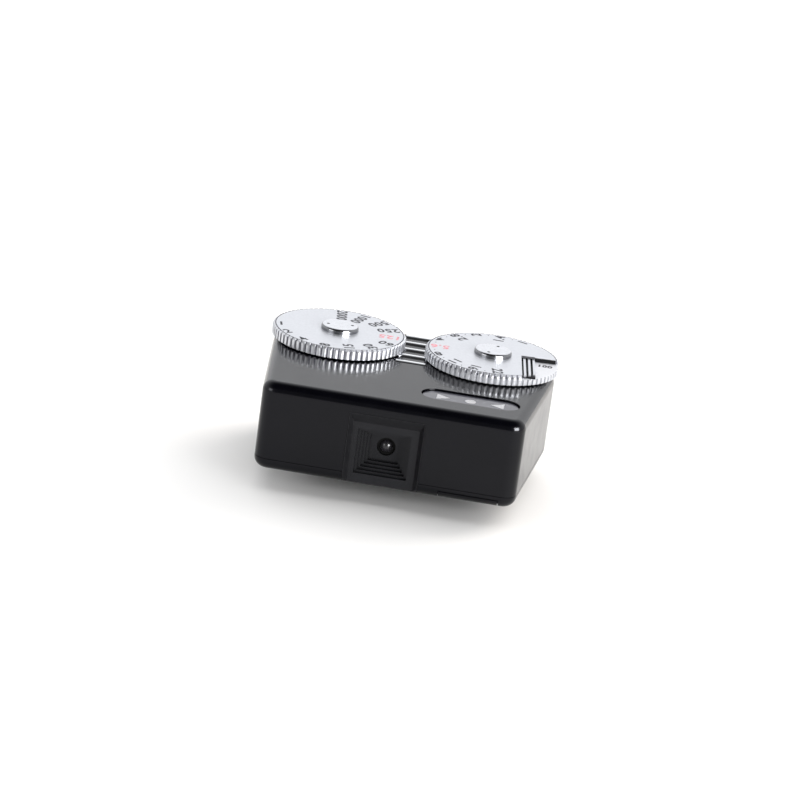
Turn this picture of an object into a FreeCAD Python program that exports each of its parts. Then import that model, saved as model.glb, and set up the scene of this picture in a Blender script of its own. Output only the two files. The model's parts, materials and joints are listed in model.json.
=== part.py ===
"""Shoe-mount exposure meter with two knurled dials, as separate named pieces.

Millimetres, +Z up, -Y towards the subject.  The pieces are laid out about the body's own centre line
(x = 0, body from y = -DEPTH/2 to +DEPTH/2), and are moved as one when they are written, so that the
origin is the centre of the shoe foot's lower face.
"""
import FreeCAD
import Part

import math
import os

V = FreeCAD.Vector

# ---- driving dimensions ---------------------------------------------------------------------------
# Body
FRONT_WIDTH = 40.0
DEPTH = 36.4
HEIGHT = 13.8
CORNER_R = 2.2              # vertical rounding of the two front corners
TOP_ROUND = 1.6
BOTTOM_ROUND = 1.6
WALL = 1.2
SEAM_Z = 1.8                # seam between the two shells, above the body's underside
SEAM_GAP = 0.08
FIT_GAP = 0.05              # between pieces that are pushed together

# Shoe foot
FOOT_WIDTH = 18.0
FOOT_LENGTH = 18.0
FOOT_THICK = 2.0
NECK_WIDTH = 12.4
NECK_LENGTH = 16.0
NECK_HEIGHT = 1.4
FOOT_X = -3.5               # foot's centre, left of the body's centre line
FOOT_Y = 2.0                # and a little behind the body's middle

# Dials
DIAL_X = 12.1               # dial axes, either side of the centre line
DIAL_FROM_FRONT = 26.3
DIAL_R = 10.5
DIAL_GAP = 0.2              # above the top plate
DIAL_THICK = 1.66
DIAL_CHAMFER = 0.3
RIDGES = 72
RIDGE_DEPTH = 0.38
CREST_SHARE = 0.56          # part of each pitch taken by the crest
PLATE_THICK = 0.68          # the aperture dial's plate, above the film-speed disc
DISC_GAP = 0.04
CLICK_STEP = 24.0           # degrees between dial settings
NUT_R = 2.95
NUT_HEIGHT = 0.75
NUT_ROUND = 0.42
SPANNER_RADIUS = 1.9
SPANNER_HOLE_R = 0.25
SHUTTER_NUT_TURN = 12.0
APERTURE_NUT_TURN = 73.0
RIM_GROOVE_R = 10.0         # fine turned line near the dial's edge
RIM_GROOVE_WIDTH = 0.14
RIM_GROOVE_DEPTH = 0.1
NOTCH_TURN = 6.0            # turn of the film-speed notch about the dial's axis
NOTCH_LEFT = 4.5            # notch's left wall from the dial's axis
NOTCH_BACK = 0.95           # notch's back wall behind the dial's axis
INDEX_BARS = 3
BAR_WIDTH = 0.36
BAR_PITCH = 0.72
BAR_REACH = 8.4             # bars' front ends from the dial's axis
STRIP_THICK = 0.2
LINING_THICK = 0.15
CLICK_RADIUS = 6.5
SHAFT_R = 1.5
RUNNING = 0.03

# Metering button
BUTTON_WIDTH = 5.0
BUTTON_LENGTH = 14.7
BUTTON_FROM_FRONT = 20.3
BUTTON_SINK = 0.16          # button's face below the top plate
BUTTON_RIBS = 5
RIB_WIDTH = 1.35
RIB_RISE = 0.34             # rib's crest above the button's face
RIB_MARGIN = 0.2            # from the rib's end to the button's side
RIB_SEAT = 0.3              # depth of the seat that holds a rib
BUTTON_TRAVEL = 0.6

# Lamp window
WINDOW_X = 10.85
WINDOW_FROM_FRONT = 7.7
WINDOW_LENGTH = 15.1
WINDOW_WIDTH = 5.0
WINDOW_SINK = 0.3
WINDOW_GAP = 0.24           # dark line round the pane
LAMP_SPACING = 4.1

# Light-cell frame in the front face
FRAME_LEFT = -6.3
FRAME_RIGHT = 5.2
FRAME_TOP = 11.3
FRAME_RIM = 0.1
LAND_LEFT = -5.6
LAND_RIGHT = 4.45
LAND_TOP = 9.75
LAND_DEPTH = 0.9
WELL_LEFT = -4.8
WELL_RIGHT = 3.3
WELL_BOTTOM = 1.65
WELL_TOP = 8.75
WELL_STEPS = 5
STEP_IN_X = 0.43
STEP_IN_Z = 0.36
STEP_DEPTH = 0.62
LENS_X = -0.55
LENS_Z = 5.45
LENS_R = 0.95
LENS_RING_R = 1.4
LENS_RING_SINK = 0.5        # ring's face below the well's floor

# Battery
CELL_R = 5.8
CELL_HEIGHT = 5.4
CELL_X = 12.4
CELL_PITCH = 12.1
CELL_BASE = 1.35
DOOR_THICK = 1.1
DOOR_LEFT = 6.35
DOOR_RIGHT = 18.45
LIP_LEFT = 8.4
LIP_RIGHT = 17.35
DOOR_GAP = 0.15
DOOR_GROOVES = 5
HINGE_Y = 9.0
HINGE_Z = 1.0
PIN_R = 0.4
BARREL_R = 0.8

# Board
BOARD_Z = 7.3
BOARD_THICK = 0.8

# ---- derived places -------------------------------------------------------------------------------
BODY_Z = FOOT_THICK + NECK_HEIGHT
TOP_Z = BODY_Z + HEIGHT
FRONT_Y = -DEPTH / 2
DIAL_Y = FRONT_Y + DIAL_FROM_FRONT
LOBE_R = DEPTH / 2 - DIAL_Y
DIAL_Z = TOP_Z + DIAL_GAP
DIAL_TOP = DIAL_Z + DIAL_THICK
CEILING_Z = TOP_Z - WALL
FLOOR_Z = BODY_Z + WALL
SPLIT_Z = BODY_Z + SEAM_Z
BOARD_TOP = BODY_Z + BOARD_Z + BOARD_THICK
BUTTON_Y = FRONT_Y + BUTTON_FROM_FRONT + BUTTON_LENGTH / 2
WINDOW_Y = FRONT_Y + WINDOW_FROM_FRONT
WELL_FLOOR_Y = FRONT_Y + LAND_DEPTH + WELL_STEPS * STEP_DEPTH
FRAME_BACK_Y = WELL_FLOOR_Y + 1.0
FRONT_CELL_Y = FRONT_Y + WALL + 0.5 + CELL_R + 0.15
CELL_YS = (FRONT_CELL_Y, FRONT_CELL_Y + CELL_PITCH)
FOOT_SCREW_SPOTS = [(FOOT_X + sx * 4.0, FOOT_Y + sy * 5.5) for sx in (-1, 1) for sy in (-1, 1)]
POST_TURN = math.radians(110.0)
POST_REACH = 7.0
CASE_SCREW_SPOTS = (
    (-FRONT_WIDTH / 2 + 3.8, FRONT_Y + 3.6),
    (-DIAL_X + POST_REACH * math.cos(POST_TURN), DIAL_Y + POST_REACH * math.sin(POST_TURN)),
    (DIAL_X - POST_REACH * math.cos(POST_TURN), DIAL_Y + POST_REACH * math.sin(POST_TURN)),
)
BOARD_SCREW_SPOTS = ((-15.5, -5.0), (4.4, -3.6), (-4.9, 14.6))
SWITCH_R = 4.6
SWITCH_HEIGHT = 2.5


# ---- shape helpers --------------------------------------------------------------------------------
def block(x0, x1, y0, y1, z0, z1):
    return Part.makeBox(x1 - x0, y1 - y0, z1 - z0, V(x0, y0, z0))


def drum(x, y, z0, z1, radius):
    return Part.makeCylinder(radius, z1 - z0, V(x, y, z0))


def ring(x, y, z0, z1, outer, inner):
    return drum(x, y, z0, z1, outer).cut(drum(x, y, z0, z1, inner))


def cone(x, y, z0, z1, r0, r1):
    return Part.makeCone(r0, r1, z1 - z0, V(x, y, z0))


def along_x(x0, x1, y, z, radius):
    return Part.makeCylinder(radius, x1 - x0, V(x0, y, z), V(1, 0, 0))


def along_y(x, y0, y1, z, radius):
    return Part.makeCylinder(radius, y1 - y0, V(x, y0, z), V(0, 1, 0))


def stadium(x, y, length, width, z0, z1):
    """A round-ended slot shape whose long side runs along X."""
    r = width / 2
    half = length / 2 - r
    shape = block(x - half, x + half, y - r, y + r, z0, z1)
    for end in (-half, half):
        shape = shape.fuse(drum(x + end, y, z0, z1, r))
    return shape.removeSplitter()


def prism(points, z0, z1):
    """A straight prism over a closed outline of (x, y) points."""
    corners = [V(x, y, z0) for x, y in points]
    return Part.Face(Part.makePolygon(corners + corners[:1])).extrude(V(0, 0, z1 - z0))


def join(shapes):
    whole = shapes[0].multiFuse(shapes[1:]) if len(shapes) > 1 else shapes[0]
    return whole.removeSplitter()


def turned(shape, x, y, degrees):
    """The shape turned about a vertical axis through (x, y)."""
    copy = shape.copy()
    copy.rotate(V(x, y, 0), V(0, 0, 1), degrees)
    return copy


def polar(x, y, radius, degrees):
    a = math.radians(degrees)
    return x + radius * math.cos(a), y + radius * math.sin(a)


def coil(x, y, z0, z1, radius, wire, turns):
    """A closed round-wire compression spring standing on z0 and reaching z1."""
    rise = z1 - z0 - 2 * wire
    helix = Part.makeHelix(rise / turns, rise, radius)
    start = Part.Wire(Part.makeCircle(wire, V(radius, 0, 0), V(0, 1, 0)))
    spring = Part.Wire(helix.Edges).makePipeShell([start], True, True)
    spring.translate(V(x, y, z0 + wire))
    return spring


# ---- body envelope --------------------------------------------------------------------------------
def plan_face(inset, z):
    """The body seen from above: straight front, sides that flare back, round rear corners."""
    front_r = max(CORNER_R - inset, 0.3)
    lobe_r = LOBE_R - inset
    fx, fy = FRONT_WIDTH / 2 - inset - front_r, FRONT_Y + inset + front_r
    lx, ly = DIAL_X, DIAL_Y
    reach = math.hypot(lx - fx, ly - fy)
    normal = math.atan2(ly - fy, lx - fx) - math.acos((front_r - lobe_r) / reach)
    edges = []
    for side in (1, -1):
        def at(cx, cy, r, angle, side=side):
            return V(side * (cx + r * math.cos(angle)), cy + r * math.sin(angle), z)
        lowest, top = -math.pi / 2, math.pi / 2
        edges.append(Part.makeLine(V(0, FRONT_Y + inset, z), at(fx, fy, front_r, lowest)))
        edges.append(Part.Arc(at(fx, fy, front_r, lowest), at(fx, fy, front_r, (lowest + normal) / 2),
                              at(fx, fy, front_r, normal)).toShape())
        edges.append(Part.makeLine(at(fx, fy, front_r, normal), at(lx, ly, lobe_r, normal)))
        edges.append(Part.Arc(at(lx, ly, lobe_r, normal), at(lx, ly, lobe_r, (normal + top) / 2),
                              at(lx, ly, lobe_r, top)).toShape())
        edges.append(Part.makeLine(at(lx, ly, lobe_r, top), V(0, DEPTH / 2 - inset, z)))
    return Part.Face(Part.Wire(Part.__sortEdges__(edges)))


def plan_block(inset, z0, z1):
    return plan_face(inset, z0).extrude(V(0, 0, z1 - z0)).removeSplitter()


def edges_at(shape, z):
    return [e for e in shape.Edges if abs(e.BoundBox.ZMin - z) < 1e-4 and abs(e.BoundBox.ZMax - z) < 1e-4]


def envelope():
    body = plan_block(0.0, BODY_Z, TOP_Z)
    body = body.makeFillet(TOP_ROUND, edges_at(body, TOP_Z))
    return body.makeFillet(BOTTOM_ROUND, edges_at(body, BODY_Z))


def above(z):
    return block(-40, 40, -40, 40, z, 60)


def below(z):
    return block(-40, 40, -40, 40, -20, z)


# ---- shells ---------------------------------------------------------------------------------------
def frame_opening(gap):
    """The notch in both shells that takes the light-cell frame."""
    return block(FRAME_LEFT - gap, FRAME_RIGHT + gap, FRONT_Y - 1, FRONT_Y + WALL + 1.2,
                 BODY_Z - 1, BODY_Z + FRAME_TOP + gap)


def upper_housing(body):
    shell = body.common(above(SPLIT_Z + SEAM_GAP)).cut(plan_block(WALL, BODY_Z, CEILING_Z))
    posts = [drum(x, y, BODY_Z + 3.0, CEILING_Z + 0.2, 1.7) for x, y in CASE_SCREW_SPOTS]
    posts += [drum(x, y, BOARD_TOP, CEILING_Z + 0.2, 1.3) for x, y in BOARD_SCREW_SPOTS]
    shell = join([shell] + [p.common(plan_block(WALL - 0.2, BODY_Z, TOP_Z - 0.5)) for p in posts])
    holes = [frame_opening(FIT_GAP)]
    holes += [drum(x, y, BODY_Z + 2.9, BODY_Z + 9.2, 0.62) for x, y in CASE_SCREW_SPOTS]
    holes += [drum(x, y, BOARD_TOP - 0.1, BOARD_TOP + 2.7, 0.52) for x, y in BOARD_SCREW_SPOTS]
    holes += [drum(sx * DIAL_X, DIAL_Y, CEILING_Z - 1, TOP_Z + 1, 2.42) for sx in (-1, 1)]
    holes += [drum(x, y, CEILING_Z - 1, TOP_Z + 1, 0.64) for x, y in click_spots()]
    holes.append(stadium(WINDOW_X, WINDOW_Y, WINDOW_LENGTH, WINDOW_WIDTH, CEILING_Z - 1, TOP_Z + 1))
    slot_x, slot_y = BUTTON_WIDTH / 2 + 0.12, BUTTON_LENGTH / 2 + 0.12
    holes.append(block(-slot_x, slot_x, BUTTON_Y - slot_y, BUTTON_Y + slot_y, CEILING_Z - 1, TOP_Z + 1))
    return shell.cut(join(holes))


def knuckle(x0, x1):
    """One of the cover's two hinge knuckles, tied back to its floor."""
    ear = along_x(x0, x1, HINGE_Y, BODY_Z + HINGE_Z, BARREL_R)
    return ear.fuse(block(x0, x1, HINGE_Y, HINGE_Y + 1.6, BODY_Z + HINGE_Z, BODY_Z + HINGE_Z + BARREL_R))


def bottom_cover(body):
    cover = body.common(below(SPLIT_Z)).cut(plan_block(WALL, FLOOR_Z, TOP_Z))
    inside = join([plan_block(WALL + 0.7, BODY_Z, TOP_Z),
                   block(FRAME_LEFT - 1.0, DOOR_RIGHT + 0.5, FRONT_Y, FRONT_Y + 3.5, BODY_Z, TOP_Z)])
    tongue = plan_block(WALL + 0.1, FLOOR_Z, SPLIT_Z + 0.8).cut(inside)
    base = plan_block(WALL - 0.2, FLOOR_Z - 0.1, SPLIT_Z).cut(inside)
    bosses = [drum(x, y, FLOOR_Z - 0.1, BODY_Z + 2.9, 2.2) for x, y in CASE_SCREW_SPOTS]
    bosses = [b.common(plan_block(WALL, BODY_Z, TOP_Z)) for b in bosses]
    cover = join([cover, tongue, base] + bosses)
    rear = HINGE_Y + 1.3
    holes = [frame_opening(FIT_GAP)]
    holes.append(block(DOOR_LEFT - DOOR_GAP, DOOR_RIGHT + DOOR_GAP, FRONT_Y + 2.0, rear,
                       BODY_Z - 1, FLOOR_Z + 0.01))
    holes.append(block(LIP_LEFT - DOOR_GAP, LIP_RIGHT + DOOR_GAP, FRONT_Y - 1, FRONT_Y + 2.5,
                       BODY_Z - 1, BODY_Z + DOOR_THICK + DOOR_GAP))
    holes += [drum(x, y, BODY_Z - 1, BODY_Z + 1.1, 1.4) for x, y in CASE_SCREW_SPOTS]
    holes += [drum(x, y, BODY_Z - 1, BODY_Z + 4, 0.72) for x, y in CASE_SCREW_SPOTS]
    holes += [drum(x, y, BODY_Z - 1, FLOOR_Z + 1, 1.0) for x, y in FOOT_SCREW_SPOTS]
    cover = cover.cut(join(holes))
    ears = [knuckle(DOOR_LEFT + 0.05, LIP_LEFT - 0.1), knuckle(LIP_RIGHT - 0.9, DOOR_RIGHT - 0.05)]
    pin_hole = along_x(DOOR_LEFT - 1, DOOR_RIGHT + 1, HINGE_Y, BODY_Z + HINGE_Z, PIN_R + 0.02)
    ears_and_floor = block(DOOR_LEFT + 0.05, DOOR_RIGHT - 0.05, HINGE_Y + 1.2, HINGE_Y + 2.4,
                           FLOOR_Z - 0.1, BODY_Z + HINGE_Z + BARREL_R)
    return join([cover, ears_and_floor] + ears).cut(pin_hole)


# ---- light cell -----------------------------------------------------------------------------------
def rect_wire(x0, x1, z0, z1, y):
    corners = [V(x0, y, z0), V(x1, y, z0), V(x1, y, z1), V(x0, y, z1)]
    return Part.makePolygon(corners + corners[:1])


def light_cell_frame(body):
    frame = block(FRAME_LEFT, FRAME_RIGHT, FRONT_Y, FRAME_BACK_Y, BODY_Z, BODY_Z + FRAME_TOP).common(body)
    flange = block(FRAME_LEFT - 0.5, FRAME_RIGHT + 0.4, FRONT_Y + WALL + 0.05, FRONT_Y + WALL + 0.9,
                   FLOOR_Z + 0.7, BODY_Z + FRAME_TOP + 0.8)
    over_floor = block(FRAME_LEFT - 1, FRAME_RIGHT + 1, FRONT_Y + WALL + 1.1, FRAME_BACK_Y + 1,
                       BODY_Z - 1, FLOOR_Z + FIT_GAP)
    low = BODY_Z - 2
    outer = rect_wire(FRAME_LEFT + FRAME_RIM, FRAME_RIGHT - FRAME_RIM, low,
                      BODY_Z + FRAME_TOP - FRAME_RIM, FRONT_Y)
    inner = rect_wire(LAND_LEFT, LAND_RIGHT, low, BODY_Z + LAND_TOP, FRONT_Y + LAND_DEPTH)
    cuts = [Part.makeLoft([outer, inner], True, True)]
    for step in range(WELL_STEPS):
        in_x, in_z = step * STEP_IN_X, step * STEP_IN_Z
        cuts.append(block(WELL_LEFT + in_x, WELL_RIGHT - in_x, FRONT_Y,
                          FRONT_Y + LAND_DEPTH + (step + 1) * STEP_DEPTH,
                          BODY_Z + WELL_BOTTOM + in_z, BODY_Z + WELL_TOP - in_z))
    cuts.append(along_y(LENS_X, WELL_FLOOR_Y - 1, FRAME_BACK_Y + 1, BODY_Z + LENS_Z, LENS_RING_R + 0.02))
    return join([frame.cut(over_floor), flange]).cut(join(cuts))


def lens_ring():
    z = BODY_Z + LENS_Z
    face_y = WELL_FLOOR_Y + LENS_RING_SINK
    tube = along_y(LENS_X, face_y, FRAME_BACK_Y, z, LENS_RING_R)
    return tube.cut(along_y(LENS_X, face_y - 1, FRAME_BACK_Y + 1, z, LENS_R + 0.02))


def light_cell_lens():
    """A short glass rod with a domed front."""
    z = BODY_Z + LENS_Z
    shoulder_y = WELL_FLOOR_Y + 0.3
    rod = along_y(LENS_X, shoulder_y, FRAME_BACK_Y, z, LENS_R)
    ball_r = 1.05
    sink = math.sqrt(ball_r ** 2 - LENS_R ** 2)
    ball = Part.makeSphere(ball_r, V(LENS_X, shoulder_y + sink, z))
    cap = ball.common(along_y(LENS_X, shoulder_y - 2, shoulder_y, z, LENS_R))
    return rod.fuse(cap).removeSplitter()


def photodiode():
    z = BODY_Z + LENS_Z
    y = FRAME_BACK_Y + 0.05
    return block(LENS_X - 1.3, LENS_X + 1.3, y, y + 0.8, z - 1.3, z + 1.3)


def sensor_board():
    y = FRAME_BACK_Y + 0.9
    return block(LENS_X - 3.6, LENS_X + 3.6, y, y + 0.8, BODY_Z + 2.8, BODY_Z + 10.0)


def sensor_header():
    y0 = FRAME_BACK_Y + 1.75
    bar = block(-2.6, 1.6, y0, y0 + 1.2, BOARD_TOP + 0.05, BOARD_TOP + 1.0)
    pins = [block(x - 0.2, x + 0.2, y0 + 1.2, y0 + 2.2, BOARD_TOP + 0.05, BOARD_TOP + 0.3)
            for x in (-1.75, -0.5, 0.75)]
    return join([bar] + pins)


# ---- lamps ----------------------------------------------------------------------------------------
def lamp_xs():
    return [WINDOW_X + step * LAMP_SPACING for step in (-1, 0, 1)]


def indicator_window():
    plug = stadium(WINDOW_X, WINDOW_Y, WINDOW_LENGTH - 2 * WINDOW_GAP, WINDOW_WIDTH - 2 * WINDOW_GAP,
                   CEILING_Z - 0.3, TOP_Z - WINDOW_SINK)
    flange = stadium(WINDOW_X, WINDOW_Y, WINDOW_LENGTH + 1.2, WINDOW_WIDTH + 1.2, CEILING_Z - 0.55,
                     CEILING_Z - 0.05)
    return join([plug, flange])


def indicator_mask():
    z1 = CEILING_Z - 0.6
    z0 = z1 - 0.35
    mask = stadium(WINDOW_X, WINDOW_Y, WINDOW_LENGTH - 0.3, WINDOW_WIDTH - 0.3, z0, z1)
    left, centre, right = lamp_xs()
    cuts = [drum(centre, WINDOW_Y, z0 - 1, z1 + 1, 0.85)]
    for x, way in ((left, 1), (right, -1)):
        arrow = [(x - way * 1.0, WINDOW_Y - 1.1), (x + way * 1.1, WINDOW_Y), (x - way * 1.0, WINDOW_Y + 1.1)]
        cuts.append(prism(arrow, z0 - 1, z1 + 1))
    return mask.cut(join(cuts))


def light_baffle():
    z1 = CEILING_Z - 1.0
    bar = stadium(WINDOW_X, WINDOW_Y, WINDOW_LENGTH - 0.3, WINDOW_WIDTH - 0.3, BOARD_TOP + 0.9, z1)
    wells = [block(x - 1.5, x + 1.5, WINDOW_Y - 1.5, WINDOW_Y + 1.5, BOARD_TOP, z1 + 1) for x in lamp_xs()]
    return bar.cut(join(wells))


def lamp(index):
    x = lamp_xs()[index]
    base = block(x - 1.0, x + 1.0, WINDOW_Y - 0.6, WINDOW_Y + 0.6, BOARD_TOP + 0.02, BOARD_TOP + 0.35)
    dome = block(x - 0.7, x + 0.7, WINDOW_Y - 0.6, WINDOW_Y + 0.6, BOARD_TOP + 0.35, BOARD_TOP + 0.8)
    return base.fuse(dome)


# ---- boards and switches --------------------------------------------------------------------------
def circuit_board():
    z0, z1 = BODY_Z + BOARD_Z, BOARD_TOP
    board = plan_block(WALL + 0.6, z0, z1)
    cuts = [block(LENS_X - 7.0, 5.75, FRONT_Y, FRAME_BACK_Y + 1.75, z0 - 1, z1 + 1)]
    cuts += [drum(x, y, z0 - 1, z1 + 1, 2.0) for x, y in CASE_SCREW_SPOTS]
    cuts += [drum(x, y, z0 - 1, z1 + 1, 0.6) for x, y in BOARD_SCREW_SPOTS]
    return board.cut(join(cuts))


def meter_chip():
    z = BOARD_TOP + 0.02
    body = block(-12.5, -7.5, -7.5, -2.5, z + 0.1, z + 1.0)
    legs = []
    for i in range(6):
        y = -7.0 + i * 0.8
        legs.append(block(-13.2, -6.8, y, y + 0.35, z, z + 0.25))
    return join([body] + legs)


def board_components():
    z = BOARD_TOP + 0.02
    spots = [(-16.8 + i * 1.9, -10.6) for i in range(4)] + [(-17.0 + i * 1.9, -1.0) for i in range(3)]
    chips = [block(x, x + 1.0, y, y + 1.7, z, z + 0.6) for x, y in spots]
    return Part.makeCompound(chips)


def tact_switch():
    z = BOARD_TOP + 0.02
    case = block(-2.2, 2.2, BUTTON_Y - 2.2, BUTTON_Y + 2.2, z, z + 1.4)
    return case.fuse(drum(0, BUTTON_Y, z + 1.4, z + 1.7, 0.9))


def switch_base(side):
    return side * DIAL_X, DIAL_Y, BOARD_TOP + 0.02


def switch_housing(side):
    x, y, z = switch_base(side)
    case = drum(x, y, z, z + SWITCH_HEIGHT, SWITCH_R)
    hollow = drum(x, y, z + 0.8, z + 1.9, 3.9)
    bore = drum(x, y, z + 0.4, z + 3, SHAFT_R + RUNNING)
    lugs = [turned(block(x - 0.5, x + 0.5, y + SWITCH_R - 0.3, y + SWITCH_R + 0.6, z, z + 0.3), x, y, a)
            for a in (180, 205, 155)]
    return join([case] + lugs).cut(hollow).cut(bore)


def switch_wiper(side):
    x, y, z = switch_base(side)
    disc = ring(x, y, z + 1.1, z + 1.5, 3.6, SHAFT_R)
    return disc.cut(block(x - 3.9, x - 2.2, y - 0.5, y + 0.5, z, z + 3))


def shaft(side):
    x, y, z = switch_base(side)
    rod = drum(x, y, z + 0.5, DIAL_TOP - 0.3, SHAFT_R)
    return rod.cut(drum(x, y, DIAL_TOP - 1.6, DIAL_TOP, 0.82))


def retaining_clip(side):
    x, y, z = switch_base(side)
    disc = ring(x, y, z + SWITCH_HEIGHT + 0.15, z + SWITCH_HEIGHT + 0.45, 2.2, SHAFT_R)
    return disc.cut(block(x - 3, x - 1.0, y - 0.5, y + 0.5, z, z + 4))


def bush(side):
    x, y = side * DIAL_X, DIAL_Y
    low = BOARD_TOP + SWITCH_HEIGHT + 0.6
    body = drum(x, y, low, TOP_Z + 0.1, 2.4).fuse(drum(x, y, CEILING_Z - 0.45, CEILING_Z, 3.1))
    return body.cut(drum(x, y, low - 1, TOP_Z + 1, SHAFT_R + RUNNING)).removeSplitter()


def dial_washer(side):
    return ring(side * DIAL_X, DIAL_Y, TOP_Z + 0.02, DIAL_Z - 0.08, 4.6, 2.6)


def click_spots():
    return [polar(side * DIAL_X, DIAL_Y, CLICK_RADIUS, 90) for side in (-1, 1)]


def click_balls():
    balls = [Part.makeSphere(0.6, V(x, y, DIAL_Z - 0.62)) for x, y in click_spots()]
    return Part.makeCompound(balls)


def click_springs():
    springs = [coil(x, y, BOARD_TOP + 0.1, DIAL_Z - 1.24, 0.38, 0.1, 6) for x, y in click_spots()]
    return Part.makeCompound(springs)


# ---- dials ----------------------------------------------------------------------------------------
def knurled_disc(x, y, z0, z1, chamfer_low, chamfer_high):
    """A disc whose edge carries rounded ridges, with its rims bevelled."""
    pitch = 2 * math.pi / RIDGES
    half = pitch * CREST_SHARE / 2

    def at(radius, angle):
        return V(x + radius * math.cos(angle), y + radius * math.sin(angle), z0)

    edges = []
    for i in range(RIDGES):
        a = i * pitch
        shoulder = DIAL_R - 0.06
        edges.append(Part.Arc(at(shoulder, a - half), at(DIAL_R, a), at(shoulder, a + half)).toShape())
        edges.append(Part.Arc(at(shoulder, a + half), at(DIAL_R - RIDGE_DEPTH, a + pitch / 2),
                              at(shoulder, a + pitch - half)).toShape())
    disc = Part.Face(Part.Wire(edges)).extrude(V(0, 0, z1 - z0))
    profile = [V(0, 0, z0), V(DIAL_R - chamfer_low, 0, z0)]
    if chamfer_low:
        profile.append(V(DIAL_R, 0, z0 + chamfer_low))
    if chamfer_high:
        profile.append(V(DIAL_R, 0, z1 - chamfer_high))
    profile += [V(DIAL_R - chamfer_high, 0, z1), V(0, 0, z1)]
    turned_rim = Part.Face(Part.makePolygon(profile + profile[:1])).revolve(V(0, 0, 0), V(0, 0, 1), 360)
    turned_rim.translate(V(x, y, 0))
    return disc.common(turned_rim)


def click_dimples(x, y):
    """Shallow seats for the click ball, one under each dial setting."""
    count = round(360 / CLICK_STEP)
    seats = [cone(*polar(x, y, CLICK_RADIUS, 90 + i * CLICK_STEP), DIAL_Z - 0.01, DIAL_Z + 0.25, 0.45, 0.1)
             for i in range(count)]
    return Part.makeCompound(seats)


def rim_groove(x, y):
    return ring(x, y, DIAL_TOP - RIM_GROOVE_DEPTH, DIAL_TOP + 1, RIM_GROOVE_R + RIM_GROOVE_WIDTH, RIM_GROOVE_R)


def shutter_dial():
    x = -DIAL_X
    disc = knurled_disc(x, DIAL_Y, DIAL_Z, DIAL_TOP, 0.15, DIAL_CHAMFER)
    bore = drum(x, DIAL_Y, DIAL_Z - 1, DIAL_TOP + 1, SHAFT_R + 0.02)
    return disc.cut(bore).cut(click_dimples(x, DIAL_Y)).cut(rim_groove(x, DIAL_Y))


def notch_cut(x, y, z0, z1):
    """The open quarter at the dial's front right, from its left and back walls out to the rim."""
    opening = block(x + NOTCH_LEFT, x + DIAL_R + 1, y - DIAL_R - 1, y + NOTCH_BACK, z0, z1)
    return turned(opening, x, y, NOTCH_TURN)


def index_bars(gap):
    """The bars that reach forward over the notch, made larger all round by a gap."""
    x, y = DIAL_X, DIAL_Y
    low = DIAL_TOP - PLATE_THICK + STRIP_THICK
    bars = []
    for i in range(INDEX_BARS):
        left = x + NOTCH_LEFT + 0.3 + i * BAR_PITCH
        bar = block(left - gap, left + BAR_WIDTH + gap, y - BAR_REACH + 0.6 * i - gap, y + NOTCH_BACK + 0.2,
                    low, DIAL_TOP - 0.1 + gap)
        bars.append(turned(bar, x, y, NOTCH_TURN))
    return bars


def aperture_dial():
    """A thin plate with a notch, bars that reach forward over the notch, and a hub under it."""
    x, y = DIAL_X, DIAL_Y
    plate_z = DIAL_TOP - PLATE_THICK
    plate = knurled_disc(x, y, plate_z, DIAL_TOP, 0, DIAL_CHAMFER)
    plate = plate.cut(notch_cut(x, y, plate_z - 1, DIAL_TOP + 1)).cut(rim_groove(x, y))
    hub = drum(x, y, DIAL_Z, plate_z + 0.1, 3.2)
    return join([plate, hub] + index_bars(0)).cut(drum(x, y, DIAL_Z - 1, DIAL_TOP + 1, SHAFT_R + 0.02))


def index_strip():
    """Dark strip under the bars, with a lining along the notch's back wall."""
    x, y = DIAL_X, DIAL_Y
    low = DIAL_TOP - PLATE_THICK
    left, back = x + NOTCH_LEFT + 0.02, y + NOTCH_BACK - 0.02
    right = left + 0.3 + (INDEX_BARS - 1) * BAR_PITCH + BAR_WIDTH
    strip = block(left, right, y - BAR_REACH + 0.3, back, low, low + STRIP_THICK)
    lining = block(left, x + DIAL_R - 0.6, back - LINING_THICK, back, low, DIAL_TOP - 0.1)
    return turned(strip.fuse(lining), x, y, NOTCH_TURN).removeSplitter().cut(join(index_bars(0.02)))


def film_speed_disc():
    x, y = DIAL_X, DIAL_Y
    disc = knurled_disc(x, y, DIAL_Z, DIAL_TOP - PLATE_THICK - DISC_GAP, 0.15, 0)
    return disc.cut(drum(x, y, DIAL_Z - 1, DIAL_TOP + 1, 3.25)).cut(click_dimples(x, y))


def dial_nut(side, turn):
    """Polished cap screw that holds a dial on its shaft, with two spanner holes."""
    x, y = side * DIAL_X, DIAL_Y
    head = drum(x, y, DIAL_TOP, DIAL_TOP + NUT_HEIGHT, NUT_R)
    head = head.makeFillet(NUT_ROUND, edges_at(head, DIAL_TOP + NUT_HEIGHT))
    nut = head.fuse(drum(x, y, DIAL_TOP - 1.4, DIAL_TOP + 0.1, 0.8)).removeSplitter()
    for half_turn in (0, 180):
        hx, hy = polar(x, y, SPANNER_RADIUS, turn + half_turn)
        nut = nut.cut(drum(hx, hy, DIAL_TOP + 0.12, DIAL_TOP + 1, SPANNER_HOLE_R))
    return nut


# ---- metering button ------------------------------------------------------------------------------
def rib_centres():
    first = BUTTON_Y - BUTTON_LENGTH / 2 + RIB_WIDTH / 2 + 0.05
    pitch = (BUTTON_LENGTH - RIB_WIDTH - 0.1) / (BUTTON_RIBS - 1)
    return [first + i * pitch for i in range(BUTTON_RIBS)]


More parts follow.
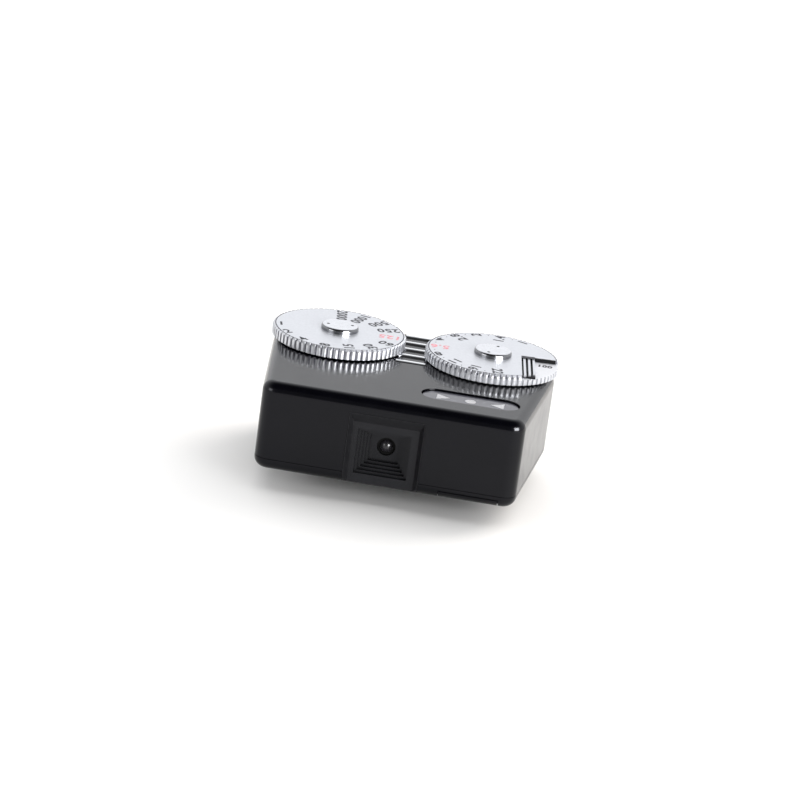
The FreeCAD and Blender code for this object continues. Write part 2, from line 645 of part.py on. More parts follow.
def metering_button():
    """A flat bar with one shallow seat for each bright rib, a flange that keeps it in, and a stem."""
    half = BUTTON_WIDTH / 2
    y0, y1 = BUTTON_Y - BUTTON_LENGTH / 2, BUTTON_Y + BUTTON_LENGTH / 2
    face_z = TOP_Z - BUTTON_SINK
    bar = block(-half, half, y0, y1, CEILING_Z - 0.5, face_z)
    flange = block(-half - 0.5, half + 0.5, y0 - 0.5, y1, CEILING_Z - 0.75, CEILING_Z - 0.1)
    stem = drum(0, BUTTON_Y, BOARD_TOP + 2.4, CEILING_Z - 0.5, 1.1)
    reach = half - RIB_MARGIN + 0.01
    seat = RIB_WIDTH / 2 + 0.01
    seats = [block(-reach, reach, y - seat, y + seat, face_z - RIB_SEAT, face_z + 1) for y in rib_centres()]
    return join([bar, flange, stem]).cut(join(seats))


def button_ribs():
    """Half-round bright bars let into the button's face."""
    reach = BUTTON_WIDTH / 2 - RIB_MARGIN
    face_z = TOP_Z - BUTTON_SINK
    low = face_z - RIB_SEAT + 0.01
    ribs = []
    for y in rib_centres():
        y0, y1 = y - RIB_WIDTH / 2, y + RIB_WIDTH / 2
        sides = Part.makePolygon([V(-reach, y1, face_z), V(-reach, y1, low), V(-reach, y0, low),
                                  V(-reach, y0, face_z)]).Edges
        crest = Part.Arc(V(-reach, y0, face_z), V(-reach, y, face_z + RIB_RISE), V(-reach, y1, face_z))
        ribs.append(Part.Face(Part.Wire(sides + [crest.toShape()])).extrude(V(2 * reach, 0, 0)))
    return Part.makeCompound(ribs)


def button_spring():
    return coil(0, BUTTON_Y, BOARD_TOP + 1.45, CEILING_Z - 0.76, 1.6, 0.15, 3)


# ---- battery --------------------------------------------------------------------------------------
def battery_holder():
    z0, z1 = FLOOR_Z + 0.03, BODY_Z + 6.8
    tray = block(DOOR_LEFT - 0.45, DOOR_RIGHT + 0.3, FRONT_Y + WALL + 0.1, CELL_YS[1] + CELL_R + 0.55, z0, z1)
    tray = tray.common(plan_block(WALL + 0.75, BODY_Z, TOP_Z))
    wells = [drum(CELL_X, y, z0 - 1, z1 + 1, CELL_R + 0.12) for y in CELL_YS]
    return tray.cut(join(wells))


def button_cell(index):
    """A 1.5 V button cell, its smaller cap facing up."""
    x, y, z = CELL_X, CELL_YS[index], BODY_Z + CELL_BASE
    can = drum(x, y, z, z + CELL_HEIGHT - 0.7, CELL_R)
    can = can.makeFillet(0.4, edges_at(can, z))
    return can.fuse(drum(x, y, z + CELL_HEIGHT - 0.7, z + CELL_HEIGHT, CELL_R - 0.9))


def cell_contacts():
    z = BODY_Z + CELL_BASE + CELL_HEIGHT + 0.04
    plates = [block(CELL_X - 1.6, CELL_X + 1.6, y - 3.2, y + 3.2, z, z + 0.3) for y in CELL_YS]
    return Part.makeCompound(plates)


def battery_door(body):
    hinge_z = BODY_Z + HINGE_Z
    plate = block(DOOR_LEFT, DOOR_RIGHT, FRONT_Y + 2.2, HINGE_Y, BODY_Z, BODY_Z + DOOR_THICK)
    lip = block(LIP_LEFT, LIP_RIGHT, FRONT_Y - 1, FRONT_Y + 2.6, BODY_Z, BODY_Z + DOOR_THICK)
    ear_gap = BARREL_R + 0.25
    cuts = [block(DOOR_LEFT - 1, LIP_LEFT, HINGE_Y - ear_gap, HINGE_Y + 3, BODY_Z - 1, BODY_Z + 3),
            block(LIP_RIGHT - 1.0, DOOR_RIGHT + 1, HINGE_Y - ear_gap, HINGE_Y + 3, BODY_Z - 1, BODY_Z + 3)]
    barrel = along_x(LIP_LEFT + 0.05, LIP_RIGHT - 1.05, HINGE_Y, hinge_z, BARREL_R)
    for i in range(DOOR_GROOVES):
        y = FRONT_Y + 4.5 + i * 0.9
        cuts.append(block(CELL_X - 3.5, CELL_X + 3.5, y, y + 0.4, BODY_Z - 1, BODY_Z + 0.2))
    door = join([plate.fuse(lip).common(body), barrel]).cut(join(cuts))
    return door.cut(along_x(DOOR_LEFT, DOOR_RIGHT, HINGE_Y, hinge_z, PIN_R + RUNNING))


def door_contact():
    z = BODY_Z + DOOR_THICK
    return block(CELL_X - 1.5, CELL_X + 1.5, CELL_YS[0] - 3, CELL_YS[1] + 3, z + 0.01, z + 0.12)


def door_hinge_pin():
    return along_x(DOOR_LEFT + 0.1, DOOR_RIGHT - 0.1, HINGE_Y, BODY_Z + HINGE_Z, PIN_R)


# ---- shoe foot and screws -------------------------------------------------------------------------
def countersink(x, y):
    return cone(x, y, -0.001, 1.0, 1.95, 1.0)


def shoe_foot_plate():
    front_y = FOOT_Y - FOOT_LENGTH / 2
    plate = block(FOOT_X - FOOT_WIDTH / 2, FOOT_X + FOOT_WIDTH / 2, front_y, front_y + FOOT_LENGTH,
                  0, FOOT_THICK)
    uprights = [e for e in plate.Edges if e.BoundBox.ZLength > FOOT_THICK - 0.01]
    plate = plate.makeChamfer(0.8, uprights)
    leading = [e for e in plate.Edges if abs(e.BoundBox.YMax - front_y) < 1e-4
               and e.BoundBox.XLength > FOOT_WIDTH / 2]
    plate = plate.makeChamfer(0.35, leading)
    for x, y in FOOT_SCREW_SPOTS:
        plate = plate.cut(countersink(x, y)).cut(drum(x, y, -1, FOOT_THICK + 1, 1.0))
    return plate


def shoe_foot_neck():
    neck = block(FOOT_X - NECK_WIDTH / 2, FOOT_X + NECK_WIDTH / 2, FOOT_Y - NECK_LENGTH / 2,
                 FOOT_Y + NECK_LENGTH / 2, FOOT_THICK, BODY_Z)
    for x, y in FOOT_SCREW_SPOTS:
        neck = neck.cut(drum(x, y, 0, BODY_Z + 1, 1.0))
    return neck


def foot_nut_plate():
    plate = block(FOOT_X - 6.2, FOOT_X + 6.2, FOOT_Y - 7.5, FOOT_Y + 7.5, FLOOR_Z, FLOOR_Z + 1.4)
    for x, y in FOOT_SCREW_SPOTS:
        plate = plate.cut(drum(x, y, FLOOR_Z - 1, FLOOR_Z + 3, 0.97))
    return plate


def cross_slot(x, y, z0, z1, reach, width):
    across = block(x - reach, x + reach, y - width / 2, y + width / 2, z0, z1)
    return across.fuse(turned(across, x, y, 90))


def foot_screws():
    screws = []
    for x, y in FOOT_SCREW_SPOTS:
        head = cone(x, y, 0.05, 0.98, 1.85, 0.95)
        screw = head.fuse(drum(x, y, 0.9, FLOOR_Z + 1.3, 0.95)).removeSplitter()
        screws.append(screw.cut(cross_slot(x, y, 0, 0.6, 1.0, 0.35)))
    return Part.makeCompound(screws)


def case_screws():
    screws = []
    for x, y in CASE_SCREW_SPOTS:
        z = BODY_Z + 0.35
        head = drum(x, y, z, BODY_Z + 1.08, 1.3)
        screw = head.fuse(drum(x, y, BODY_Z + 1.0, BODY_Z + 8.6, 0.6)).removeSplitter()
        screws.append(screw.cut(cross_slot(x, y, z - 0.1, z + 0.4, 0.8, 0.3)))
    return Part.makeCompound(screws)


def board_screws():
    screws = []
    z = BODY_Z + BOARD_Z
    for x, y in BOARD_SCREW_SPOTS:
        head = drum(x, y, z - 0.52, z - 0.02, 1.1)
        screw = head.fuse(drum(x, y, z - 0.3, z + 3.2, 0.5)).removeSplitter()
        screws.append(screw.cut(cross_slot(x, y, z - 0.7, z - 0.25, 0.7, 0.25)))
    return Part.makeCompound(screws)


# ---- the whole meter ------------------------------------------------------------------------------
def pieces():
    body = envelope()
    found = {
        "upper_housing": upper_housing(body),
        "bottom_cover": bottom_cover(body),
        "light_cell_frame": light_cell_frame(body),
        "lens_ring": lens_ring(),
        "light_cell_lens": light_cell_lens(),
        "photodiode": photodiode(),
        "sensor_board": sensor_board(),
        "sensor_header": sensor_header(),
        "indicator_window": indicator_window(),
        "indicator_mask": indicator_mask(),
        "light_baffle": light_baffle(),
        "circuit_board": circuit_board(),
        "meter_chip": meter_chip(),
        "board_components": board_components(),
        "tact_switch": tact_switch(),
        "click_balls": click_balls(),
        "click_springs": click_springs(),
        "shutter_dial": shutter_dial(),
        "aperture_dial": aperture_dial(),
        "film_speed_disc": film_speed_disc(),
        "index_strip": index_strip(),
        "shutter_dial_nut": dial_nut(-1, SHUTTER_NUT_TURN),
        "aperture_dial_nut": dial_nut(1, APERTURE_NUT_TURN),
        "metering_button": metering_button(),
        "button_ribs": button_ribs(),
        "button_spring": button_spring(),
        "battery_holder": battery_holder(),
        "button_cell_front": button_cell(0),
        "button_cell_rear": button_cell(1),
        "cell_contacts": cell_contacts(),
        "battery_door": battery_door(body),
        "door_contact": door_contact(),
        "door_hinge_pin": door_hinge_pin(),
        "shoe_foot_plate": shoe_foot_plate(),
        "shoe_foot_neck": shoe_foot_neck(),
        "foot_nut_plate": foot_nut_plate(),
        "foot_screws": foot_screws(),
        "case_screws": case_screws(),
        "board_screws": board_screws(),
    }
    for index, name in enumerate(("led_left", "led_centre", "led_right")):
        found[name] = lamp(index)
    for side, name in ((-1, "shutter"), (1, "aperture")):
        found[name + "_shaft"] = shaft(side)
        found[name + "_bush"] = bush(side)
        found[name + "_washer"] = dial_washer(side)
        found[name + "_clip"] = retaining_clip(side)
        found[name + "_switch"] = switch_housing(side)
        found[name + "_wiper"] = switch_wiper(side)
    return found


def write(found):
    os.makedirs("parts", exist_ok=True)
    for name, shape in found.items():
        placed = shape.copy()
        placed.translate(V(-FOOT_X, -FOOT_Y, 0))
        placed.exportStep(os.path.join("parts", name + ".step"))
        print(name, "valid" if placed.isValid() else "NOT VALID", len(placed.Solids), round(placed.Volume, 2))


write(pieces())
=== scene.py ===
"""Looks for the shoe-mount exposure meter: materials, printed figures, floor, light and camera."""
import json
import math

import bmesh
import bpy
from mathutils import Matrix, Vector

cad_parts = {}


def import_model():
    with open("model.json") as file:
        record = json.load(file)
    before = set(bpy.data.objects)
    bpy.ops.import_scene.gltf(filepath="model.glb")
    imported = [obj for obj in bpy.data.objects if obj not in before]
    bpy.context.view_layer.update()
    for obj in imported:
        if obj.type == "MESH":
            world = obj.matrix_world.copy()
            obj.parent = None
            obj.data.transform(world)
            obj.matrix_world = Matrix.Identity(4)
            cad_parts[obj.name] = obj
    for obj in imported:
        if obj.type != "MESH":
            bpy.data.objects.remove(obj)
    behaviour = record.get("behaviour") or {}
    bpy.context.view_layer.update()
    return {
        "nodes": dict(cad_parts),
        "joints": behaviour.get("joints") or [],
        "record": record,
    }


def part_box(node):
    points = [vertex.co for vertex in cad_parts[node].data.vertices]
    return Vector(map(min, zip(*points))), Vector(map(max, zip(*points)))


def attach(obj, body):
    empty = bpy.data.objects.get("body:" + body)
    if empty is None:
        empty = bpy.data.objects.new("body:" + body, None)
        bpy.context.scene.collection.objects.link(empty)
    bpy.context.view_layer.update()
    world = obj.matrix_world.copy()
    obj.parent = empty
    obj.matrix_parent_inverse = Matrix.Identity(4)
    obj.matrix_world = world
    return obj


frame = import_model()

MM = 0.001
JOINTS = {joint["name"]: joint for joint in frame["joints"]}

# ---- places read from the frame -------------------------------------------------------------------
DIAL_R = (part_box("shutter_dial")[1].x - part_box("shutter_dial")[0].x) / 2
DIAL_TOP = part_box("shutter_dial")[1].z
DISC_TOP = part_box("film_speed_disc")[1].z
NUT_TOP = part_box("shutter_dial_nut")[1].z
SHUTTER_AXIS = Vector(JOINTS["shutter_dial_turn"]["pos_m"])
APERTURE_AXIS = Vector(JOINTS["aperture_dial_turn"]["pos_m"])

# ---- painted shade on the dials, painted dark reflection on the nuts ------------------------------
GROOVE_R = DIAL_R - 0.44 * MM    # middle of the groove round each dial's face
GROOVE_HALF = 0.09 * MM          # half its width
VALLEY_R = DIAL_R - 0.38 * MM    # bottom of the knurl's valleys
VALLEY_DEPTH = 0.24 * MM         # over which the painted shade on a valley's wall fades from dark to bright
VALLEY_TOP = DIAL_TOP - 0.3 * MM
NUT_REFLECTION_EDGE = NUT_TOP - 0.06 * MM   # below it the nuts carry a painted dark reflection
# colour of the painted shade in the knurl's valleys and in the groove
PAINTED_SHADE_COLOUR = (0.14, 0.14, 0.16)

# ---- print on the dials ---------------------------------------------------------------------------
STEP = 24.0                      # degrees between settings
SHUTTER_SPEEDS = ("1", "2", "4", "8", "15", "30", "60", "125", "250", "500", "1000", "2000")
SHUTTER_SET = "125"
APERTURES = ("1", "1.4", "2", "2.8", "4", "5.6", "8", "11", "16", "22")
APERTURE_SET = "5.6"
FILM_SPEEDS = ("100", "200", "400", "800", "1600", "3200")
FILM_SET = "100"
SHUTTER_ANGLE = 0.0              # where the set shutter speed stands on its dial
APERTURE_ANGLE = 184.0           # where the set aperture stands on its dial
FILM_ANGLE = 0.0                 # where the set film speed shows in the notch
FIGURE_SIZE = 2.3 * MM
FIGURE_WEIGHT = 0.055 * MM
FILM_FIGURE_SIZE = 1.5 * MM
FILM_FULL_SIZE = 3.0             # characters that fit the notch at full size; longer ones are smaller
PRINT_RISE = 0.012 * MM
PRINT_EDGE = 0.93                # outer end of each figure, as a share of the dial's radius
FILM_EDGE = 0.90                 # the same for the film speeds
DOT_EDGE = 0.88                  # and for the dots between the apertures
DOT_R = 0.11 * MM
NOTCH_TURN = 6.0                 # turn of the film speed notch about the dial's axis
REFLECTION_LINE_CORNERS = (Vector((0.43, -0.01)), Vector((0.632, 0.089)))      # painted dark reflection of the notch's back wall, as shares of the radius

# ---- symbols on the lamp window -------------------------------------------------------------------
ARROW_LENGTH = 2.05 * MM
ARROW_HALF = 1.12 * MM
LAMP_DOT_R = 0.85 * MM
SYMBOL_SHIFT = 0.15 * MM         # towards the front from the lamps' middles

# ---- camera ---------------------------------------------------------------------------------------
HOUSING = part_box("upper_housing")
HOUSING_MIDDLE = (HOUSING[0] + HOUSING[1]) / 2
AIM = Vector((HOUSING_MIDDLE.x - 0.6 * MM, HOUSING_MIDDLE.y, HOUSING[1].z - 5.38 * MM))
DISTANCE = 540.0 * MM
AZIMUTH = 4.66                   # degrees, from straight in front towards +X
ELEVATION = 18.29
ROLL = 7.80
LENS = 157.6                     # focal length and sensor width in millimetres
SENSOR = 36.0

# ---- studio ---------------------------------------------------------------------------------------
WALL_LEVEL = 1.36                # brightness of the sweep at the sides and the back
CEILING_LEVEL = 0.03
FRONT_SHARE = 0.2                # brightness left in the middle of the front wall


# ---- node helpers ---------------------------------------------------------------------------------
MIX_FIRST, MIX_SECOND, MIX_RESULT = 6, 7, 2      # colour sockets of a Mix node


class Shader:
    """A Principled material with a few short ways to add procedural detail."""

    def __init__(self, name, base, rough, **sockets):
        self.mat = bpy.data.materials.new(name)
        self.mat.use_nodes = True
        self.tree = self.mat.node_tree
        self.bsdf = self.tree.nodes["Principled BSDF"]
        self.base, self.rough = base, rough
        self.set("Base Color", (*base, 1.0))
        self.set("Roughness", rough)
        for socket, value in sockets.items():
            self.set(socket.replace("_", " "), value)
        self.normal = None
        self.coords = self.node("ShaderNodeTexCoord").outputs["Object"]

    def set(self, socket, value):
        """Sets one of the Principled shader's own sockets."""
        self.bsdf.inputs[socket].default_value = value

    def node(self, kind, **inputs):
        made = self.tree.nodes.new(kind)
        for key, value in inputs.items():
            made.inputs[key.replace("_", " ")].default_value = value
        return made

    def link(self, source, target):
        self.tree.links.new(source, target)

    def stretched(self, scale):
        """Object coordinates scaled by a vector, for grain that runs one way."""
        mapping = self.node("ShaderNodeMapping")
        mapping.inputs["Scale"].default_value = scale
        self.link(self.coords, mapping.inputs["Vector"])
        return mapping.outputs["Vector"]

    def noise(self, size, detail=2.0, coords=None):
        """Noise whose features are about size metres across."""
        texture = self.node("ShaderNodeTexNoise", Scale=1.0 / size, Detail=detail)
        self.link(coords or self.coords, texture.inputs["Vector"])
        return texture.outputs["Fac"]

    def ramp(self, source, low, high, start=0.3, end=0.7):
        mapped = self.node("ShaderNodeMapRange")
        for key, value in (("From Min", start), ("From Max", end), ("To Min", low), ("To Max", high)):
            mapped.inputs[key].default_value = value
        self.link(source, mapped.inputs["Value"])
        return mapped.outputs["Result"]

    def vary_rough(self, size, spread, coords=None):
        low, high = max(self.rough - spread, 0.02), self.rough + spread
        self.link(self.ramp(self.noise(size, coords=coords), low, high), self.bsdf.inputs["Roughness"])

    def mix_colours(self, first, second, factor):
        """Makes the base colour a mix of two, the first of which may be another mix's output."""
        mix = self.node("ShaderNodeMix")
        mix.data_type = "RGBA"
        if isinstance(first, tuple):
            mix.inputs[MIX_FIRST].default_value = (*first, 1.0)
        else:
            self.link(first, mix.inputs[MIX_FIRST])
        mix.inputs[MIX_SECOND].default_value = (*second, 1.0)
        self.link(factor, mix.inputs["Factor"])
        self.link(mix.outputs[MIX_RESULT], self.bsdf.inputs["Base Color"])
        return mix.outputs[MIX_RESULT]

    def vary_colour(self, size, other, amount=1.0, coords=None):
        patches = self.ramp(self.noise(size, coords=coords), 0.0, amount, 0.35, 0.65)
        return self.mix_colours(self.base, other, patches)

    def bump(self, height, distance, strength=1.0):
        made = self.node("ShaderNodeBump", Strength=strength, Distance=distance)
        self.link(height, made.inputs["Height"])
        if self.normal:
            self.link(self.normal, made.inputs["Normal"])
        self.normal = made.outputs["Normal"]
        self.link(self.normal, self.bsdf.inputs["Normal"])

    def compute(self, operation, first, *others):
        """A math node over a source and either sources or plain values."""
        made = self.node("ShaderNodeMath")
        made.operation = operation
        self.link(first, made.inputs[0])
        for place, other in enumerate(others, 1):
            if isinstance(other, float):
                made.inputs[place].default_value = other
            else:
                self.link(other, made.inputs[place])
        return made.outputs[0]

    def height(self):
        """Height above the floor, in metres."""
        split = self.node("ShaderNodeSeparateXYZ")
        self.link(self.coords, split.inputs[0])
        return split.outputs["Z"]

    def radius_from(self, centre):
        """Distance from a vertical axis, in metres."""
        shift = self.node("ShaderNodeVectorMath")
        shift.operation = "SUBTRACT"
        shift.inputs[1].default_value = (centre.x, centre.y, 0)
        self.link(self.coords, shift.inputs[0])
        flat = self.node("ShaderNodeVectorMath")
        flat.operation = "MULTIPLY"
        flat.inputs[1].default_value = (1, 1, 0)
        self.link(shift.outputs[0], flat.inputs[0])
        length = self.node("ShaderNodeVectorMath")
        length.operation = "LENGTH"
        self.link(flat.outputs[0], length.inputs[0])
        return length.outputs["Value"]


def satin_black(name, base, rough, grain=0.16 * MM, ior=1.45, tint=(1.0, 1.0, 1.0)):
    s = Shader(name, base, rough, IOR=ior, Specular_Tint=(*tint, 1.0))
    s.vary_colour(6 * MM, tuple(c * 1.7 for c in base), 0.6)
    s.vary_rough(3 * MM, 0.03)
    s.bump(s.noise(grain, 3.0), 0.0015 * MM, 0.5)
    return s.mat


def satin_chrome(name, centre, base=(0.63, 0.64, 0.67), rough=0.42):
    """Bead-blasted plating with faint turned rings, with painted shade in the knurl's valleys and in the
    dial's groove.
    """
    s = Shader(name, base, rough, Metallic=1.0)
    plain = s.vary_colour(0.4 * MM, tuple(c * 0.95 for c in base))
    s.vary_rough(0.3 * MM, 0.03)
    s.bump(s.noise(0.06 * MM, 2.0), 0.002 * MM, 0.35)
    radius = s.radius_from(centre)
    ring = s.node("ShaderNodeTexNoise", Scale=1.0 / (0.05 * MM))
    ring.noise_dimensions = "1D"
    s.link(radius, ring.inputs["W"])
    s.bump(ring.outputs["Fac"], 0.0006 * MM, 0.4)
    # painted shade: darker low in the knurl's valleys and along the groove round the face
    below = s.compute("LESS_THAN", s.height(), VALLEY_TOP)
    painted_shade = s.compute("MULTIPLY", s.ramp(radius, 0.8, 0.0, VALLEY_R, VALLEY_R + VALLEY_DEPTH), below)
    painted_shade = s.compute("MAXIMUM", painted_shade, s.compute("COMPARE", radius, GROOVE_R, GROOVE_HALF))
    s.mix_colours(plain, PAINTED_SHADE_COLOUR, painted_shade)
    return s.mat


def satin_disc(name):
    """The film speed disc under its window: paler and flatter than the dials over it."""
    s = Shader(name, (0.60, 0.61, 0.64), 0.5, Metallic=0.2)
    s.vary_colour(0.4 * MM, (0.57, 0.58, 0.61))
    s.vary_rough(0.3 * MM, 0.03)
    s.bump(s.noise(0.06 * MM, 2.0), 0.002 * MM, 0.35)
    return s.mat


def polished(name, base, rough, edge=None):
    """Bright plating, with a painted dark reflection below the height of an edge."""
    s = Shader(name, base, rough, Metallic=1.0)
    plain = s.vary_colour(0.7 * MM, tuple(c * 0.9 for c in base), 0.7)
    if edge:
        # painted dark reflection: the plating is darkened below the edge
        s.mix_colours(plain, tuple(c * 0.3 for c in base), s.compute("LESS_THAN", s.height(), edge))
    s.vary_rough(0.5 * MM, 0.03)
    s.bump(s.noise(0.3 * MM, 2.0), 0.001 * MM, 0.3)
    return s.mat


def brushed(name, base, rough):
    s = Shader(name, base, rough, Metallic=1.0)
    along = s.stretched((1, 12, 12))
    s.vary_colour(0.5 * MM, tuple(c * 0.8 for c in base), 0.8, along)
    s.vary_rough(0.4 * MM, 0.06, along)
    s.bump(s.noise(0.25 * MM, 2.0, along), 0.002 * MM, 0.4)
    return s.mat


def smoked_pane(name):
    s = Shader(name, (0.064, 0.064, 0.078), 0.13, IOR=1.38)
    s.vary_colour(4 * MM, (0.075, 0.075, 0.09), 0.7)
    s.vary_rough(2 * MM, 0.03)
    s.bump(s.noise(0.8 * MM, 1.0), 0.001 * MM, 0.3)
    return s.mat


def dark_glass(name):
    s = Shader(name, (0.02, 0.02, 0.022), 0.24, IOR=1.45)
    s.vary_colour(0.6 * MM, (0.028, 0.026, 0.032), 0.8)
    s.vary_rough(0.5 * MM, 0.03)
    return s.mat


def print_ink(name, base, rough=0.55):
    s = Shader(name, base, rough, IOR=1.4)
    s.vary_colour(0.35 * MM, tuple(min(1.0, c * 1.5 + 0.01) for c in base), 0.7)
    s.vary_rough(0.3 * MM, 0.06)
    s.bump(s.noise(0.08 * MM, 2.0), 0.002 * MM, 0.4)
    return s.mat


def laminate(name):
    s = Shader(name, (0.012, 0.09, 0.045), 0.4, IOR=1.5)
    s.vary_colour(0.9 * MM, (0.02, 0.14, 0.07), 0.9)
    s.vary_rough(1 * MM, 0.05)
    s.bump(s.noise(0.3 * MM, 2.0, s.stretched((1, 4, 1))), 0.004 * MM, 0.5)
    return s.mat


COOL = (0.93, 0.94, 1.0)
MATERIALS = {
    "housing": satin_black("housing_black", (0.0008, 0.0008, 0.0016), 0.17, ior=1.295, tint=COOL),
    "key": satin_black("key_black", (0.0008, 0.0008, 0.0016), 0.2, ior=1.34, tint=COOL),
    "frame": satin_black("frame_black", (0.0022, 0.0022, 0.003), 0.4, 0.1 * MM, 1.34, COOL),
    "lens": dark_glass("lens_glass"),
    "chip": satin_black("package_black", (0.02, 0.02, 0.02), 0.5),
    "board": laminate("board_laminate"),
    "window": smoked_pane("window_pane"),
    "mask": satin_black("mask_black", (0.004, 0.004, 0.005), 0.55, ior=1.2),
    "steel": brushed("plain_steel", (0.56, 0.56, 0.57), 0.32),
    "disc": satin_disc("disc_satin_chrome"),
    "nut": polished("nut_chrome", (0.61, 0.62, 0.65), 0.14, NUT_REFLECTION_EDGE),
    "button": polished("button_chrome", (0.80, 0.81, 0.83), 0.12),
    "cell": brushed("cell_nickel", (0.70, 0.69, 0.66), 0.25),
    "brass": brushed("turned_brass", (0.70, 0.52, 0.24), 0.3),
    "foot": satin_black("foot_anodised", (0.012, 0.012, 0.014), 0.38),
    "lamp": print_ink("lamp_body", (0.62, 0.60, 0.55), 0.25),
    "washer": satin_black("washer_black", (0.01, 0.01, 0.01), 0.6),
}
NODE_FINISH = {
    "shutter_dial": satin_chrome("shutter_satin_chrome", SHUTTER_AXIS),
    "aperture_dial": satin_chrome("aperture_satin_chrome", APERTURE_AXIS),
    "lens_ring": satin_black("ring_black", (0.001, 0.001, 0.001), 0.6, ior=1.2),
}
INK = {
    "black": print_ink("ink_black", (0.012, 0.012, 0.018)),
    "red": print_ink("ink_red", (0.52, 0.21, 0.24)),
    "pale": print_ink("ink_pale", (0.33, 0.33, 0.345), 0.35),
}


def dress_nodes():
    for part in frame["record"]["subparts"]:
        node = frame["nodes"][part["node"]]
        finish = NODE_FINISH.get(part["node"]) or MATERIALS[part["material_slot"]]
        node.data.materials.clear()
        node.data.materials.append(finish)


# ---- printed pieces -------------------------------------------------------------------------------
def link_piece(name, mesh, material, body):
    piece = bpy.data.objects.new(name, mesh)
    bpy.context.scene.collection.objects.link(piece)
    mesh.materials.clear()
    mesh.materials.append(material)
    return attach(piece, body)


def figure_mesh(text, size, align):
    """One figure as a thin solid, its baseline along X and its middle on y = 0."""
    curve = bpy.data.curves.new("figure", "FONT")
    curve.body = text
    curve.size = size
    curve.align_x = align
    curve.align_y = "CENTER"
    curve.extrude = PRINT_RISE / 2
    curve.offset = FIGURE_WEIGHT
    curve.resolution_u = 3
    curve.space_character = 1.08
    holder = bpy.data.objects.new("figure", curve)
    bpy.context.scene.collection.objects.link(holder)
    bpy.context.view_layer.update()
    mesh = bpy.data.meshes.new_from_object(holder.evaluated_get(bpy.context.evaluated_depsgraph_get()))
    bpy.data.objects.remove(holder)
    bpy.data.curves.remove(curve)
    return mesh


def polar_matrix(axis, radius, angle, z, turn):
    a = math.radians(angle)
    place = Vector((axis.x + radius * math.cos(a), axis.y + radius * math.sin(a), z))
    return Matrix.Translation(place) @ Matrix.Rotation(math.radians(turn), 4, "Z")


def joined(name, parts, material, body):
    """One piece from (mesh, matrix) pairs."""
    whole = bmesh.new()
    for mesh, matrix in parts:
        mesh.transform(matrix)
        whole.from_mesh(mesh)
        bpy.data.meshes.remove(mesh)
    bmesh.ops.remove_doubles(whole, verts=whole.verts, dist=1e-7)
    mesh = bpy.data.meshes.new(name)
    whole.to_mesh(mesh)
    whole.free()
    return link_piece(name, mesh, material, body)


def dot_mesh(radius):
    dot = bmesh.new()
    bmesh.ops.create_cone(dot, cap_ends=True, segments=20, radius1=radius, radius2=radius * 0.9,
                          depth=PRINT_RISE)
    mesh = bpy.data.meshes.new("dot")
    dot.to_mesh(mesh)
    dot.free()
    return mesh


def arrow_mesh(way):
    """A flat arrowhead that points to +X when way is 1 and to -X when it is -1."""
    arrow = bmesh.new()
    back, tip = -way * ARROW_LENGTH / 2, way * ARROW_LENGTH / 2
    corners = [(back, -ARROW_HALF), (tip, 0), (back, ARROW_HALF)]
    if way < 0:
        corners.reverse()
    flat = [arrow.verts.new((x, y, -PRINT_RISE / 2)) for x, y in corners]
    face = arrow.faces.new(flat)
    face.normal_update()
    top = bmesh.ops.extrude_face_region(arrow, geom=[face])
    lifted = [v for v in top["geom"] if isinstance(v, bmesh.types.BMVert)]
    bmesh.ops.translate(arrow, verts=lifted, vec=(0, 0, PRINT_RISE))
    bmesh.ops.recalc_face_normals(arrow, faces=arrow.faces)
    mesh = bpy.data.meshes.new("arrow")
    arrow.to_mesh(mesh)
    arrow.free()
    return mesh


def dial_scale(name, figures, chosen, axis, index_angle, body):
    """Figures round a dial, with the chosen one at the index; on the two large dials it is printed in red."""
    film = name == "film"
    z = (DISC_TOP if film else DIAL_TOP) + PRINT_RISE / 2
    edge = (FILM_EDGE if film else PRINT_EDGE) * DIAL_R
    plain, red = [], []
    for place, text in enumerate(figures):
        angle = index_angle + STEP * (place - figures.index(chosen))
        align, turn = ("LEFT", angle + 180) if name == "shutter" else ("RIGHT", angle)
        size = FILM_FIGURE_SIZE * min(1.0, FILM_FULL_SIZE / len(text)) if film else FIGURE_SIZE
        mesh = figure_mesh(text, size, align)
        matrix = polar_matrix(axis, edge, angle, z, turn)
        (red if text == chosen and not film else plain).append((mesh, matrix))
        last = place == len(figures) - 1
        if not last and name == "aperture":
            plain.append((dot_mesh(DOT_R), polar_matrix(axis, DOT_EDGE * DIAL_R, angle + STEP / 2, z, 0)))
    joined(name + "_figures", plain, INK["black"], body)
    if red:
        joined(name + "_set_figure", red, INK["red"], body)


def notch_wall_reflection():
    """Painted dark reflection of the notch's back wall: a black ink strip across the back ends of the index
    bars, in line with that wall.
    """
    low, high = (corner * DIAL_R for corner in REFLECTION_LINE_CORNERS)
    line = bmesh.new()
    bmesh.ops.create_cube(line, size=1.0)
    mesh = bpy.data.meshes.new("line")
    line.to_mesh(mesh)
    line.free()
    size = Matrix.Diagonal((high.x - low.x, high.y - low.y, PRINT_RISE, 1.0))
    middle = (low + high) / 2
    place = Matrix.Translation((APERTURE_AXIS.x, APERTURE_AXIS.y, DIAL_TOP + PRINT_RISE / 2))
    turn = Matrix.Rotation(math.radians(NOTCH_TURN), 4, "Z")
    matrix = place @ turn @ Matrix.Translation((middle.x, middle.y, 0)) @ size
    joined("notch_wall_reflection", [(mesh, matrix)], INK["black"], "aperture_dial")


def lamp_symbols():
    """Arrow, dot and arrow printed on the window over the three lamps."""
    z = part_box("indicator_window")[1].z + PRINT_RISE / 2
    symbols = {"led_left": arrow_mesh(1), "led_centre": dot_mesh(LAMP_DOT_R), "led_right": arrow_mesh(-1)}
    parts = []
    for node, mesh in symbols.items():
        lamp = (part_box(node)[0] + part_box(node)[1]) / 2
        parts.append((mesh, Matrix.Translation((lamp.x, lamp.y - SYMBOL_SHIFT, z))))
    joined("lamp_symbols", parts, INK["pale"], "root")


